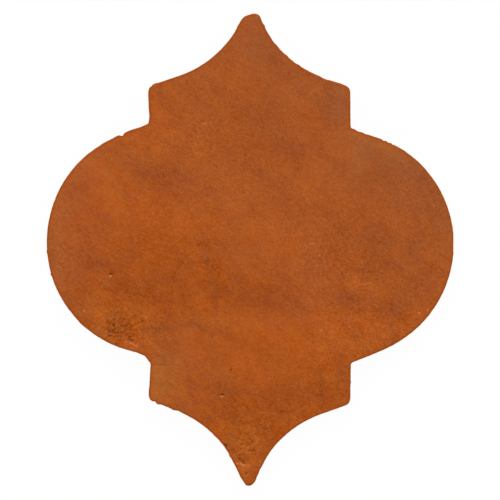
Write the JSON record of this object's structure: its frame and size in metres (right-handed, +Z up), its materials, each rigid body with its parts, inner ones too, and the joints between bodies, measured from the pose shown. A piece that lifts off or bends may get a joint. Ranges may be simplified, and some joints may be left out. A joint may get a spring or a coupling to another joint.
{
  "type": "arabesque tile",
  "caption": "Fired clay floor tile with a Moroccan lantern outline: round side lobes, stepped necks and ogee crowns that nest with neighbouring tiles.",
  "frame": {"origin": "middle of the tile's box on its underside, which lies on the floor", "axes": "+X to the right lobe, +Y along the length to the blunt tip, +Z up out of the wearing face"},
  "size_m": [0.254, 0.295, 0.018],
  "materials": {
    "stained_terracotta": "hand-rubbed fired clay, stained brown and sealed to a dull satin, with worn and nibbled edges"
  },
  "bodies": {
    "root": {"arabesque_tile": "stained_terracotta"}
  },
  "joints": []
}
